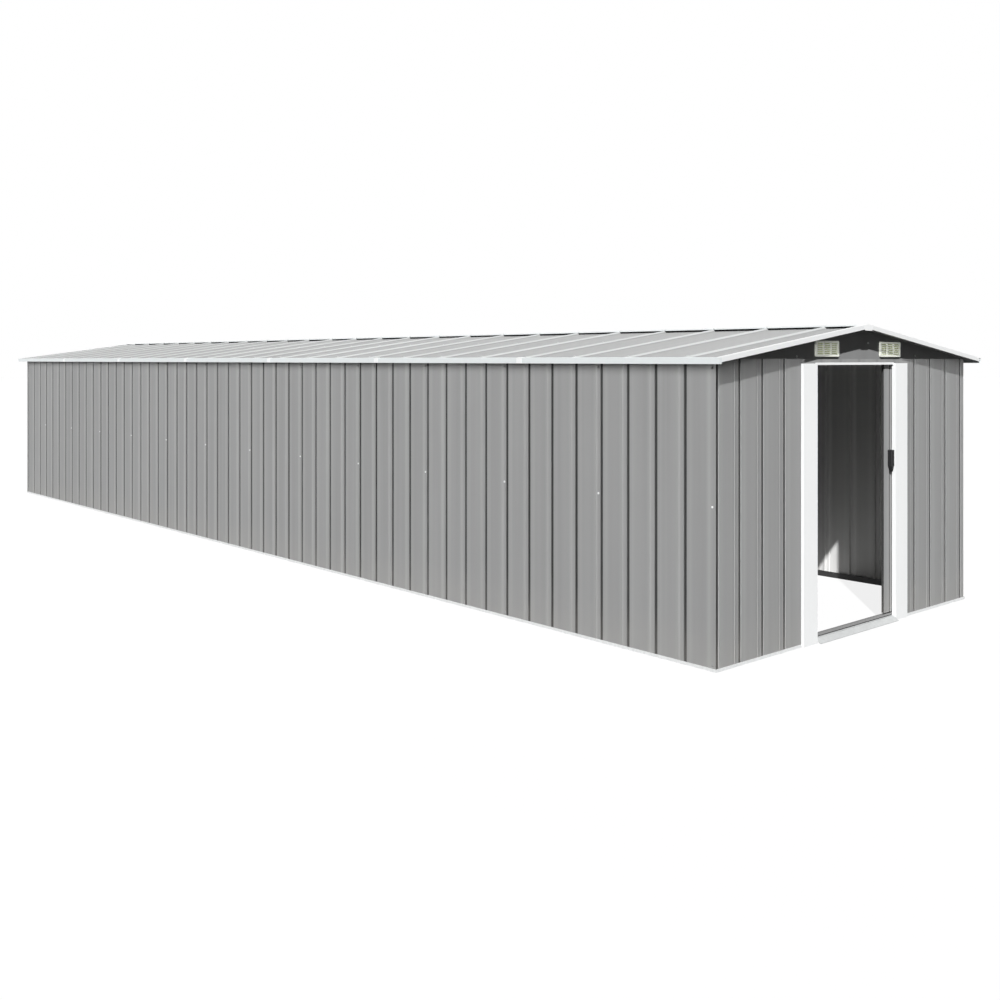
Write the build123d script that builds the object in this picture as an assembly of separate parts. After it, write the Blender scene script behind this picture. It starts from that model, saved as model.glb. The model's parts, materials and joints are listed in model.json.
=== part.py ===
from build123d import *
import os
from math import atan, cos, hypot, sin, tan

# A long metal storage shed: ribbed sheet walls in folded rails, a low gable roof of ribbed sheets with white
# trims, and a sheet door that hangs from a track behind the doorway and slides to the right.
# X runs to the right as one faces the doorway, Y to the back and Z up; the origin is on the ground, in the
# middle of the plan. A wall sheet is drawn as seen from outside: u from its left end, w outwards. Millimetres.

# Wall sheets
RIB_PITCH = 192.0
SIDE_PITCHES = 51
END_PITCHES = 13
PANEL_PITCHES = 4
CORNER_FLAT = 45.0
CORNER_GROOVE = 23.0
WALL_TOP = 1535.0
SHEET = 1.0
GROOVE_MOUTH = 22.0
GROOVE_FLOOR = 12.0
GROOVE_DEPTH = 11.0
BEAD_SET = 40.0
BEAD_WIDTH = 14.0
BEAD_HEIGHT = 3.0
LAP_MARGIN = 1.0

# Base rails and top rails
RAIL_SHEET = 1.5
BASE_LIP = 16.0
RAIL_PLAY = 0.5
TOP_RAIL_DEPTH = 29.0

# Roof
ROOF_RISE = 178.0
EAVE_OVERHANG = 75.0
VERGE_OVERHANG = 78.0
ROOF_BAYS = 24
ROOF_FIRST_RIB = 243.0
BAYS_PER_SHEET = 2
ROOF_RIB_HEIGHT = 12.0
ROOF_RIB_FOOT = 30.0
ROOF_RIB_CROWN = 14.0
ROOF_END_RIB = 22.0
ROOF_LAP = 24.0
RIDGE_GAP = 6.0
RIDGE_CAP_WING = 70.0
RIDGE_BEAM_CROWN = 36.0
RIDGE_BEAM_FOOT = 60.0
RIDGE_BEAM_FLANGE = 16.0
RIDGE_BEAM_HEIGHT = 42.0
PURLIN_HEIGHT = 35.0
PURLIN_FLANGE = 25.0
PURLIN_PLACE_share = 0.5

# White trims
TRIM_SHEET = 1.0
TRIM_PLAY = 0.3
EAVE_FACE = 31.0
EAVE_LIP = 18.0
EAVE_RETURN = 14.0
EAVE_HOOK = 6.0
EAVE_SEGMENTS = 7
EAVE_JOINT = 3.0
VERGE_FACE = 24.0
VERGE_LIP = 32.0
END_CAP_TOP = 100.0
END_CAP_FOOT = 74.0
END_CAP_HEIGHT = 36.0
END_CAP_LIP = 52.0

# Gables and vents
GABLE_FLANGE = 24.0
VENT_WIDTH = 225.0
VENT_HEIGHT = 87.0
VENT_DEPTH = 10.0
VENT_SPACING = 660.0
VENT_SHIFT = 28.0
VENT_RISE = 12.0
VENT_CORNER = 9.0
VENT_BORDER = 13.0
VENT_BAR = 9.0
VENT_SLAT = 5.0
VENT_COLUMNS = 3
VENT_ROWS = 6

# Doorway
OPENING_WIDTH = 818.0
OPENING_TOP = 1503.0
JAMB_FACE = 132.0
JAMB_PROUD = 15.0
JAMB_DEPTH = 11.0
JAMB_LIP = 18.0
JAMB_COVER = 30.0
JAMB_HEAD_GAP = 25.0
HEADER_LIP = 10.0
SILL_HEIGHT = 40.0
SILL_DROP = 15.0
SILL_REACH = 36.0
SILL_TOE = 6.0
SILL_SHOULDER = 4.0
SILL_TRACK_GAP = 3.0

# Sliding door
LEAF_DEPTH = 18.0
LEAF_SHEET = 1.0
LEAF_CLEARANCE = 6.0
LEAF_SHOWING = 74.0
LEAF_END_GAP = 14.0
LEAF_GROOVES = 5
LEAF_GROOVE_SET = 62.0
LEAF_GROOVE_MOUTH = 18.0
LEAF_GROOVE_FLOOR = 8.0
LEAF_GROOVE_DEPTH = 5.0
BRACE_HEIGHT = 30.0
BRACE_DEPTH = 14.0
BRACE_PLAY = 2.0
BRACE_PLACE_shares = (0.06, 0.5, 0.93)
TRACK_HEIGHT = 27.0
TRACK_WIDTH = 29.0
TRACK_SLOT = 9.0
BOTTOM_TRACK_OVERRUN = 30.0
ROLLER_DIAMETER = 18.0
ROLLER_WIDTH = 16.0
ROLLER_PLAY = 0.3
HANGER_WIDTH = 24.0
HANGER_SHEET = 3.0
HANGER_DROP = 34.0
HANGER_INSET = 125.0
GUIDE_LENGTH = 40.0
GUIDE_SHEET = 4.0
GUIDE_DEPTH = 18.0
GUIDE_LAP = 26.0
BOTTOM_TRACK_WIDTH = 20.0
HANDLE_HEIGHT = 126.0
HANDLE_WIDTH = 30.0
HANDLE_DEPTH = 25.0
HANDLE_TAPER = 34.0
HANDLE_CORNER_share = 0.4
HANDLE_INSET = 38.0
HANDLE_LEVEL = 938.0
HANDLE_RIM = 8.0
HANDLE_RECESS = 9.0

# Worked out from the sizes above
half_width = (END_PITCHES * RIB_PITCH + CORNER_FLAT) / 2
half_length = (SIDE_PITCHES * RIB_PITCH + CORNER_FLAT) / 2
wall_reach = half_width + SHEET + BEAD_HEIGHT
wall_back = GROOVE_DEPTH + SHEET
wall_foot = RAIL_SHEET
roof_half_width = half_width + EAVE_OVERHANG
roof_half_length = half_length + VERGE_OVERHANG
slope = atan(ROOF_RISE / wall_reach)
rib_top = 2 * SHEET + ROOF_RIB_HEIGHT
trim_top = rib_top + TRIM_SHEET
opening_half = OPENING_WIDTH / 2
jamb_outer = opening_half + JAMB_FACE
front_panel_end = jamb_outer - JAMB_COVER
leaf_centre = wall_back + TRACK_WIDTH / 2
leaf_front = leaf_centre - LEAF_DEPTH / 2
track_bottom = WALL_TOP - TRACK_HEIGHT
leaf_bottom = SILL_HEIGHT + LEAF_CLEARANCE
leaf_top = track_bottom - LEAF_CLEARANCE
track_reach = half_width - wall_back - TOP_RAIL_DEPTH
leaf_lead = opening_half - LEAF_SHOWING
leaf_tail = track_reach - LEAF_END_GAP
leaf_width = leaf_tail - leaf_lead


def sheet_section(path, thickness):
    """Closed outline of a folded sheet: the path is one face, and the thickness lies to its right."""
    normals = []
    for (x0, y0), (x1, y1) in zip(path, path[1:]):
        run = hypot(x1 - x0, y1 - y0)
        normals.append(((y1 - y0) / run, (x0 - x1) / run))
    before = [normals[0]] + normals
    after = normals + [normals[-1]]
    inner = []
    for (x, y), (ax, ay), (bx, by) in zip(path, before, after):
        mitre = thickness / (1 + ax * bx + ay * by)
        inner.append((x + (ax + bx) * mitre, y + (ay + by) * mitre))
    return path + inner[::-1]


def prism(points, plane, length):
    """A closed outline drawn in the plane and run along the plane's normal."""
    return plane * extrude(make_face(Polyline(*points, close=True)), amount=length, dir=(0, 0, 1))


def fold(path, thickness, plane, length):
    """A folded sheet, drawn in the plane and run along the plane's normal."""
    return prism(sheet_section(path, thickness), plane, length)


def turned(part):
    """The same piece on the opposite side of the shed."""
    return Rot(0, 0, 180) * part


def mirrored(part):
    """The same piece on the other side of the doorway."""
    return mirror(part, about=Plane.YZ)


def roof_under(x):
    """Height of the roof's underside."""
    return WALL_TOP + (wall_reach - abs(x)) * tan(slope)


def roof_level(x, lift):
    """Height of a plane that lies over the roof's underside by lift, square to the slope."""
    return roof_under(x) + lift / cos(slope)


def write(node, *pieces):
    """One node, of one solid or of like solids that stand apart."""
    solids = [solid for piece in pieces for solid in piece.solids()]
    shape = solids[0] if len(solids) == 1 else Compound(solids)
    export_step(shape, f"parts/{node}.step")


# Wall sheets


def groove_path(centre, lift):
    """The groove at each pitch, pressed inwards."""
    mouth, floor = GROOVE_MOUTH / 2, GROOVE_FLOOR / 2
    bottom = lift - GROOVE_DEPTH
    return [(centre - mouth, lift), (centre - floor, bottom), (centre + floor, bottom), (centre + mouth, lift)]


def bead_path(centre, lift):
    """The narrow bead beside each groove, pressed outwards."""
    side = BEAD_WIDTH / 2
    return [(centre - side, lift), (centre, lift + BEAD_HEIGHT), (centre + side, lift)]


def panel_path(start, end, grooves, lift, tucked=False, shown=None):
    """Outer face of one wall sheet; a tucked sheet starts set back behind the corner of the shed."""
    limit = end if shown is None else shown
    path = [(start, lift)]
    if tucked:
        floor_end = start + CORNER_GROOVE - (GROOVE_MOUTH - GROOVE_FLOOR) / 2
        bottom = lift - GROOVE_DEPTH
        path = [(start, bottom), (floor_end, bottom), (start + CORNER_GROOVE, lift)]
    for groove in grooves:
        for feature in (bead_path(groove - BEAD_SET, lift), groove_path(groove, lift)):
            if feature[0][0] > path[-1][0] and feature[-1][0] < limit:
                path += feature
    return path + [(end, lift)]


def wall_panels(plane, first, last, grooves, joints, tucked):
    """Sheets of one wall, lapped at the joints: every other one lies over its neighbours."""
    lap_from = BEAD_SET - BEAD_WIDTH / 2 - LAP_MARGIN
    lap_to = GROOVE_MOUTH / 2 + LAP_MARGIN
    starts = [first] + [joint - lap_from for joint in joints]
    ends = [joint - lap_to for joint in joints] + [last]
    over, under = [], []
    for index, (start, end) in enumerate(zip(starts, ends)):
        lifted = index % 2 == 0
        path = panel_path(start, end, grooves, SHEET if lifted else 0, tucked and index == 0)
        (over if lifted else under).append(fold(path, SHEET, plane, WALL_TOP - wall_foot))
    return over, under


front_plane = Plane(origin=(-half_width, -half_length, WALL_TOP), x_dir=(1, 0, 0), z_dir=(0, 0, -1))
left_plane = Plane(origin=(-half_width, half_length, WALL_TOP), x_dir=(0, -1, 0), z_dir=(0, 0, -1))


def side_wall():
    """Left wall: its grooves are counted from the front corner, which is its right end."""
    width = 2 * half_length
    grooves = [width - count * RIB_PITCH for count in range(SIDE_PITCHES, 0, -1)]
    last_joint = (SIDE_PITCHES - 1) // PANEL_PITCHES * PANEL_PITCHES
    joints = [width - count * RIB_PITCH for count in range(last_joint, 0, -PANEL_PITCHES)]
    return wall_panels(left_plane, 0, width, grooves, joints, tucked=False)


def end_wall():
    """Rear wall, drawn at the front: its grooves are counted from its left corner."""
    grooves = [count * RIB_PITCH for count in range(1, END_PITCHES + 1)]
    last_joint = (END_PITCHES // PANEL_PITCHES - 1) * PANEL_PITCHES
    joints = [count * RIB_PITCH for count in range(PANEL_PITCHES, last_joint + 1, PANEL_PITCHES)]
    return wall_panels(front_plane, SHEET, 2 * half_width - SHEET, grooves, joints, tucked=True)


def front_panels():
    """The sheets beside the doorway, which end behind the jambs."""
    grooves = [count * RIB_PITCH for count in range(1, END_PITCHES + 1)]
    left = panel_path(SHEET, half_width - front_panel_end, grooves, 0, True, half_width - jamb_outer)
    start, shown_from = half_width + front_panel_end, half_width + jamb_outer
    shown = [groove for groove in grooves if groove - GROOVE_MOUTH / 2 > shown_from]
    right = panel_path(start, 2 * half_width - SHEET, shown, 0)
    right = [point for point in right if point[0] == start or point[0] > shown_from]
    return [fold(path, SHEET, front_plane, WALL_TOP - wall_foot) for path in (left, right)]


# Rails at the foot and head of the walls


def along_front(x_right):
    """Plane of a section that runs to the left along the front: outwards, then up."""
    return Plane(origin=(x_right, -half_length, 0), x_dir=(0, -1, 0), z_dir=(-1, 0, 0))


def along_left(y_front):
    """Plane of a section that runs back along the left side: outwards, then up."""
    return Plane(origin=(-half_width, y_front, 0), x_dir=(-1, 0, 0), z_dir=(0, 1, 0))


def mitre_at(rail, x, y, across, along):
    """Cuts a rail's end at 45 degrees through a corner of the frame that it belongs to."""
    return split(rail, bisect_by=Plane(origin=(x, y, 0), z_dir=(across, along, 0)), keep=Keep.TOP)


def frame_rails(path, thickness, reach):
    """One section run round the shed, mitred at the corners: left and front rail, as wide as the plan."""
    x, y = half_width + reach, half_length + reach
    left = fold(path, thickness, along_left(-y), 2 * y)
    left = mitre_at(mitre_at(left, -x, -y, -1, 1), -x, y, -1, -1)
    front = fold(path, thickness, along_front(x), 2 * x)
    front = mitre_at(mitre_at(front, -x, -y, 1, -1), x, -y, -1, -1)
    return left, front


base_outer = SHEET + BEAD_HEIGHT + RAIL_PLAY + RAIL_SHEET
base_inner = wall_back + RAIL_PLAY + RAIL_SHEET


def base_rails():
    """Channel that the wall sheets stand in: a low lip outside, a taller upstand inside."""
    path = [(base_outer, BASE_LIP), (base_outer, 0), (-base_inner, 0), (-base_inner, SILL_HEIGHT)]
    return frame_rails(path, RAIL_SHEET, base_outer)


def doorway_gap(rail):
    """A front rail parted at the doorway, beside the jambs, which stand on the ground."""
    gap = 2 * (jamb_outer + RAIL_PLAY)
    depth, height = 2 * (base_outer + base_inner), 2 * (BASE_LIP + SILL_HEIGHT)
    return (rail - Pos(0, -half_length, 0) * Box(gap, depth, height)).solids().sort_by(Axis.X)


def side_top_rail():
    """Channel behind the heads of the left wall sheets, open towards the room."""
    reach = half_length - wall_back
    return fold(top_rail_path(), RAIL_SHEET, along_left(-reach), 2 * reach)


def rear_top_rail():
    """Channel behind the heads of the rear wall sheets, drawn at the front, between the side rails."""
    return fold(top_rail_path(), RAIL_SHEET, along_front(track_reach), 2 * track_reach)


def top_rail_path():
    """Section of the top rails."""
    bottom, back = OPENING_TOP + SHEET, wall_back + TOP_RAIL_DEPTH
    return [(-back, WALL_TOP), (-wall_back, WALL_TOP), (-wall_back, bottom), (-back, bottom)]


# Roof


def roof_plane(x):
    """Plane across the left slope at x: back along the shed, then square to the roof, running uphill."""
    return Plane(origin=(x, 0, roof_under(x)), x_dir=(0, 1, 0), z_dir=(cos(slope), 0, sin(slope)))


def roof_sheets():
    """Sheets of the left slope, lapped beside the ribs: every other one lies over its neighbours."""
    eave = TRIM_SHEET + TRIM_PLAY + rib_top * sin(slope) - roof_half_width
    length = (-RIDGE_GAP - eave) / cos(slope)
    first = ROOF_FIRST_RIB - roof_half_length
    pitch = -2 * first / ROOF_BAYS
    end = roof_half_length - TRIM_SHEET - TRIM_PLAY
    under_verge = roof_half_length - ROOF_END_RIB
    ribs = [first + count * pitch for count in range(ROOF_BAYS + 1)]
    joints = ribs[1:-1:BAYS_PER_SHEET]
    ribs = [-under_verge] + ribs + [under_verge]
    foot, crown = ROOF_RIB_FOOT / 2, ROOF_RIB_CROWN / 2
    starts = [-end] + [joint + foot + LAP_MARGIN for joint in joints]
    ends = [start + ROOF_LAP for start in starts[1:]] + [end]
    over, under = [], []
    for index, (start, stop) in enumerate(zip(starts, ends)):
        lifted = index % 2 == 0
        flat = 2 * SHEET if lifted else SHEET
        top = flat + ROOF_RIB_HEIGHT
        path = [(start, flat)]
        for rib in ribs:
            if start < rib - foot and rib + foot < stop:
                path += [(rib - foot, flat), (rib - crown, top), (rib + crown, top), (rib + foot, flat)]
        path.append((stop, flat))
        (over if lifted else under).append(fold(path, SHEET, roof_plane(eave), length))
    return over, under


def along_back(y_back):
    """Plane of a section that runs forwards along the shed: to the right, then up."""
    return Plane(origin=(0, y_back, 0), x_dir=(1, 0, 0), z_dir=(0, -1, 0))


def ridge_cap():
    """Bent sheet on the ribs of both slopes, between the verge trims."""
    wing = RIDGE_CAP_WING * cos(slope)
    path = [(x, roof_level(x, trim_top)) for x in (-wing, 0, wing)]
    reach = roof_half_length - VERGE_LIP - TRIM_PLAY
    return fold(path, TRIM_SHEET, along_back(reach), 2 * reach)


def ridge_beam():
    """Folded beam under the ridge, from gable to gable."""
    crown, foot = RIDGE_BEAM_CROWN / 2, RIDGE_BEAM_FOOT / 2
    top = roof_under(crown)
    bottom = top - RIDGE_BEAM_HEIGHT
    edge = foot + RIDGE_BEAM_FLANGE
    path = [(-edge, bottom), (-foot, bottom), (-crown, top), (crown, top), (foot, bottom), (edge, bottom)]
    reach = half_length - SHEET
    return fold(path, RAIL_SHEET, along_back(reach), 2 * reach)


def purlin():
    """Channel under the middle of the left slope, from gable to gable."""
    x = -PURLIN_PLACE_share * half_width
    reach = half_length - SHEET
    plane = Plane(origin=(x, reach, roof_under(x)), x_dir=(cos(slope), 0, sin(slope)), z_dir=(0, -1, 0))
    path = [(PURLIN_FLANGE, -PURLIN_HEIGHT), (0, -PURLIN_HEIGHT), (0, 0), (PURLIN_FLANGE, 0)]
    return fold(path, RAIL_SHEET, plane, 2 * reach)


# Trims


def eave_trim():
    """White channel over the lower ends of the left roof sheets, in lengths that almost meet."""
    edge, lip_end = -roof_half_width, EAVE_LIP - roof_half_width
    top = roof_level(edge, trim_top)
    low = top - EAVE_FACE
    path = [(edge + EAVE_RETURN, low + EAVE_HOOK), (edge + EAVE_RETURN, low), (edge, low)]
    path += [(edge, top), (lip_end, roof_level(lip_end, trim_top))]
    length = (2 * roof_half_length - (EAVE_SEGMENTS - 1) * EAVE_JOINT) / EAVE_SEGMENTS
    backs = [roof_half_length - index * (length + EAVE_JOINT) for index in range(EAVE_SEGMENTS)]
    return [fold(path, TRIM_SHEET, along_back(back), length) for back in backs]


def verge_trim():
    """White angle over the front edge of the left slope, cut upright at the ridge and at the eave trim."""
    edge = -roof_half_length
    path = [(edge, trim_top - VERGE_FACE), (edge, trim_top), (edge + VERGE_LIP, trim_top)]
    trim = fold(path, TRIM_SHEET, roof_plane(-roof_half_width), 2 * roof_half_width)
    low = EAVE_LIP + TRIM_PLAY - roof_half_width
    trim = split(trim, bisect_by=Plane(origin=(low, 0, 0), z_dir=(1, 0, 0)), keep=Keep.TOP)
    return split(trim, bisect_by=Plane(origin=(-TRIM_PLAY, 0, 0), z_dir=(-1, 0, 0)), keep=Keep.TOP)


def ridge_end_cap():
    """White keystone over the joint of the front verge trims, with a lip back over the ridge."""
    top, foot = END_CAP_TOP / 2, END_CAP_FOOT / 2
    peak = roof_level(0, trim_top + TRIM_SHEET)
    shoulder = roof_level(top, trim_top + TRIM_SHEET)
    low = peak - END_CAP_HEIGHT
    plate = [(-foot, low), (foot, low), (top, shoulder), (0, peak), (-top, shoulder)]
    lip = [(-top, shoulder), (0, peak), (top, shoulder)]
    face = along_back(-roof_half_length)
    over_ridge = fold(lip, TRIM_SHEET, along_back(END_CAP_LIP - roof_half_length), END_CAP_LIP)
    return prism(plate, face, TRIM_SHEET) + over_ridge


# Gables


def gable():
    """Flat sheet above the front wall with a flange over the heads of the wall sheets."""
    path = [(0, WALL_TOP + ROOF_RISE), (0, WALL_TOP), (-GABLE_FLANGE, WALL_TOP)]
    angle = fold(path, SHEET, along_front(half_width), 2 * half_width)
    side = roof_under(half_width)
    outline = [(-half_width, WALL_TOP), (half_width, WALL_TOP), (half_width, side)]
    outline += [(0, roof_under(0)), (-half_width, side)]
    return angle & prism(outline, along_back(GABLE_FLANGE - half_length), GABLE_FLANGE)


vent_level = WALL_TOP + VENT_RISE + VENT_HEIGHT / 2


def vent_plane(side):
    """Outer face of the front gable at the middle of one vent."""
    middle = VENT_SHIFT + side * VENT_SPACING / 2
    return Plane(origin=(middle, -half_length, vent_level), x_dir=(1, 0, 0), z_dir=(0, -1, 0))


def vent(side):
    """Moulded vent with rows of slots in columns."""
    inner_width, inner_height = VENT_WIDTH - 2 * VENT_BORDER, VENT_HEIGHT - 2 * VENT_BORDER
    slot_width = (inner_width - (VENT_COLUMNS - 1) * VENT_BAR) / VENT_COLUMNS
    slot_height = (inner_height - (VENT_ROWS - 1) * VENT_SLAT) / VENT_ROWS
    grid = GridLocations(slot_width + VENT_BAR, slot_height + VENT_SLAT, VENT_COLUMNS, VENT_ROWS)
    face = RectangleRounded(VENT_WIDTH, VENT_HEIGHT, VENT_CORNER) - grid * Rectangle(slot_width, slot_height)
    return vent_plane(side) * extrude(face, amount=VENT_DEPTH)


def front_gable():
    """Front gable, open behind the vents."""
    sheet = gable()
    for side in (-1, 1):
        hole = Rectangle(VENT_WIDTH - 2 * VENT_BORDER, VENT_HEIGHT - 2 * VENT_BORDER)
        sheet -= vent_plane(side) * extrude(hole, amount=2 * SHEET, both=True)
    return sheet


# Doorway


def left_jamb():
    """White folded jamb: a flange on the wall sheet, a broad face, a return into the opening and a lip."""
    path = [(-jamb_outer, 0), (-jamb_outer, JAMB_PROUD), (-opening_half, JAMB_PROUD)]
    path += [(-opening_half, -JAMB_DEPTH), (-opening_half - JAMB_LIP, -JAMB_DEPTH)]
    top = WALL_TOP - JAMB_HEAD_GAP
    plane = Plane(origin=(0, -half_length, top), x_dir=(1, 0, 0), z_dir=(0, 0, -1))
    jamb = fold(path, TRIM_SHEET, plane, top)
    notch_height = top - OPENING_TOP
    notch = Box(JAMB_FACE, JAMB_DEPTH, notch_height)
    middle = JAMB_DEPTH / 2 - half_length
    return jamb - Pos(-opening_half - JAMB_FACE / 2, middle, OPENING_TOP + notch_height / 2) * notch


def front_header():
    """Sheet over the opening, between the wall sheets, with a lip back under the top rail."""
    path = [(0, WALL_TOP), (0, OPENING_TOP), (-HEADER_LIP, OPENING_TOP)]
    reach = front_panel_end - TRIM_PLAY
    return fold(path, SHEET, along_front(reach), 2 * reach)


def door_track():
    """Top rail of the front wall, closed to a slot below, in which the door hangs."""
    back = wall_back + TRACK_WIDTH
    near, far = TRACK_SLOT / 2 - leaf_centre, -TRACK_SLOT / 2 - leaf_centre
    path = [(far, track_bottom), (-back, track_bottom), (-back, WALL_TOP), (-wall_back, WALL_TOP)]
    path += [(-wall_back, track_bottom), (near, track_bottom)]
    return fold(path, RAIL_SHEET, along_front(track_reach), 2 * track_reach)


def bottom_track():
    """Channel on the ground that keeps the foot of the door in line, from the left jamb to the right wall."""
    front, back = BOTTOM_TRACK_WIDTH / 2 - leaf_centre, -BOTTOM_TRACK_WIDTH / 2 - leaf_centre
    path = [(front, SILL_HEIGHT), (front, 0), (back, 0), (back, SILL_HEIGHT)]
    right = leaf_tail + BOTTOM_TRACK_OVERRUN
    return fold(path, RAIL_SHEET, along_front(right), right + jamb_outer)


def door_sill():
    """Ramp from the ground towards the top of the bottom track, between the jambs, with a foot against it."""
    track = BOTTOM_TRACK_WIDTH / 2 - leaf_centre
    back = track + SILL_TRACK_GAP
    head = SILL_HEIGHT - SILL_DROP
    path = [(track, RAIL_SHEET), (back, RAIL_SHEET), (back, head), (SILL_SHOULDER, head)]
    path += [(SILL_REACH - SILL_TOE, RAIL_SHEET), (SILL_REACH, RAIL_SHEET)]
    reach = opening_half - TRIM_PLAY
    return fold(path, RAIL_SHEET, along_front(reach), 2 * reach)


# Door, open as it stands: drawn to the right as far as its tail allows


def door_leaf():
    """Sheet folded back along both edges, with evenly spaced grooves."""
    path = [(leaf_lead, -leaf_front - LEAF_DEPTH), (leaf_lead, -leaf_front)]
    mouth, floor = LEAF_GROOVE_MOUTH / 2, LEAF_GROOVE_FLOOR / 2
    bottom = -leaf_front - LEAF_GROOVE_DEPTH
    pitch = (leaf_width - 2 * LEAF_GROOVE_SET) / (LEAF_GROOVES - 1)
    for count in range(LEAF_GROOVES):
        centre = leaf_lead + LEAF_GROOVE_SET + count * pitch
        path += [(centre - mouth, -leaf_front), (centre - floor, bottom)]
        path += [(centre + floor, bottom), (centre + mouth, -leaf_front)]
    path += [(leaf_tail, -leaf_front), (leaf_tail, -leaf_front - LEAF_DEPTH)]
    plane = Plane(origin=(0, -half_length, leaf_top), x_dir=(1, 0, 0), z_dir=(0, 0, -1))
    return fold(path, LEAF_SHEET, plane, leaf_top - leaf_bottom)


def door_braces():
    """Channels across the back of the leaf, between its folded edges."""
    front = leaf_front + LEAF_SHEET + LEAF_GROOVE_DEPTH
    back = front + BRACE_DEPTH - LEAF_GROOVE_DEPTH
    length = leaf_width - 2 * (LEAF_SHEET + BRACE_PLAY)
    right = leaf_lead + (leaf_width + length) / 2
    braces = []
    for share in BRACE_PLACE_shares:
        low = leaf_bottom + share * (leaf_top - leaf_bottom - HANGER_DROP) - share * BRACE_HEIGHT
        path = [(-back, low + BRACE_HEIGHT), (-front, low + BRACE_HEIGHT), (-front, low), (-back, low)]
        braces.append(fold(path, LEAF_SHEET, along_front(right), length))
    return braces


def hanger_places():
    """Middles of the hangers and guides along the leaf."""
    return [leaf_lead + HANGER_INSET, leaf_tail - HANGER_INSET]


def roller_hanger(x):
    """Bent strap on the back of the leaf with a roller on the lips of the track."""
    skin = leaf_front + LEAF_SHEET
    level = (leaf_top + track_bottom) / 2
    half = HANGER_SHEET / 2
    axle = track_bottom + RAIL_SHEET + ROLLER_PLAY + ROLLER_DIAMETER / 2
    stem = half - leaf_centre
    path = [(stem, axle), (stem, level), (-skin, level), (-skin, leaf_top - HANGER_DROP)]
    strap = fold(path, HANGER_SHEET, along_front(x + HANGER_WIDTH / 2), HANGER_WIDTH)
    roller = extrude(Circle(ROLLER_DIAMETER / 2), amount=ROLLER_WIDTH / 2, both=True)
    return strap + Plane(origin=(x, leaf_centre - half_length, axle), z_dir=(0, 1, 0)) * roller


def guide_shoe(x):
    """Plastic shoe on the foot of the leaf, in the bottom track."""
    skin = leaf_front + LEAF_SHEET
    half = GUIDE_SHEET / 2
    top, low = leaf_bottom + GUIDE_LAP, SILL_HEIGHT - GUIDE_DEPTH
    front, back = half - leaf_centre, -half - leaf_centre
    level = leaf_bottom + GUIDE_SHEET
    outline = [(-skin, top), (-skin, leaf_bottom), (front, leaf_bottom), (front, low), (back, low)]
    outline += [(back, level), (-skin - GUIDE_SHEET, level), (-skin - GUIDE_SHEET, top)]
    return prism(outline, along_front(x + GUIDE_LENGTH / 2), GUIDE_LENGTH)


def handle_outline(margin):
    """Pull handle as seen from the front: eased corners at the top, drawn to a point at the foot."""
    side, half = HANDLE_WIDTH / 2 - margin, HANDLE_HEIGHT / 2 - margin
    taper = HANDLE_TAPER - half
    points = [(-side, half), (-side, taper), (0, -half), (side, taper), (side, half)]
    outline = make_face(Polyline(*points, close=True))
    return fillet(outline.vertices().group_by(Axis.Y)[-1], HANDLE_CORNER_share * side)


def door_handle():
    """Handle on the front of the leaf, hollowed for the fingers."""
    x = leaf_lead + HANDLE_INSET + HANDLE_WIDTH / 2
    grip = extrude(handle_outline(0), amount=HANDLE_DEPTH, dir=(0, 0, 1))
    hollow = extrude(handle_outline(HANDLE_RIM), amount=HANDLE_RECESS, dir=(0, 0, 1))
    grip -= Pos(0, 0, HANDLE_DEPTH - HANDLE_RECESS) * hollow
    return Plane(origin=(x, leaf_front - half_length, HANDLE_LEVEL), x_dir=(1, 0, 0), z_dir=(0, -1, 0)) * grip


os.makedirs("parts", exist_ok=True)

over, under = side_wall()
write("left_wall_over_panels", *over)
write("left_wall_under_panels", *under)
write("right_wall_over_panels", *[turned(panel) for panel in over])
write("right_wall_under_panels", *[turned(panel) for panel in under])
over, under = end_wall()
write("rear_wall_over_panels", *[turned(panel) for panel in over])
write("rear_wall_under_panels", *[turned(panel) for panel in under])
for node, panel in zip(("front_left_panel", "front_right_panel"), front_panels()):
    write(node, panel)

left_rail, front_rail = base_rails()
write("left_base_rail", left_rail)
write("right_base_rail", turned(left_rail))
write("rear_base_rail", turned(front_rail))
for node, rail in zip(("front_left_base_rail", "front_right_base_rail"), doorway_gap(front_rail)):
    write(node, rail)
write("left_top_rail", side_top_rail())
write("right_top_rail", turned(side_top_rail()))
write("rear_top_rail", turned(rear_top_rail()))

over, under = roof_sheets()
write("left_roof_over_sheets", *over)
write("left_roof_under_sheets", *under)
write("right_roof_over_sheets", *[turned(sheet) for sheet in over])
write("right_roof_under_sheets", *[turned(sheet) for sheet in under])
write("ridge_cap", ridge_cap())
write("ridge_beam", ridge_beam())
write("roof_purlins", purlin(), mirrored(purlin()))

lengths = eave_trim()
write("left_eave_trim", *lengths)
write("right_eave_trim", *[turned(length) for length in lengths])
verge = verge_trim()
write("front_verge_trims", verge, mirrored(verge))
write("rear_verge_trims", turned(verge), turned(mirrored(verge)))
write("ridge_end_caps", ridge_end_cap(), turned(ridge_end_cap()))

write("front_gable", front_gable())
write("rear_gable", turned(gable()))
write("gable_vents", vent(-1), vent(1))

write("left_jamb", left_jamb())
write("right_jamb", mirrored(left_jamb()))
write("front_header", front_header())
write("door_track", door_track())
write("door_bottom_track", bottom_track())
write("door_sill", door_sill())

write("door_leaf", door_leaf())
write("door_braces", *door_braces())
write("door_rollers", *[roller_hanger(x) for x in hanger_places()])
write("door_guides", *[guide_shoe(x) for x in hanger_places()])
write("door_handle", door_handle())
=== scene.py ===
import json
from math import atan, cos, pi, radians, sin, tan

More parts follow.
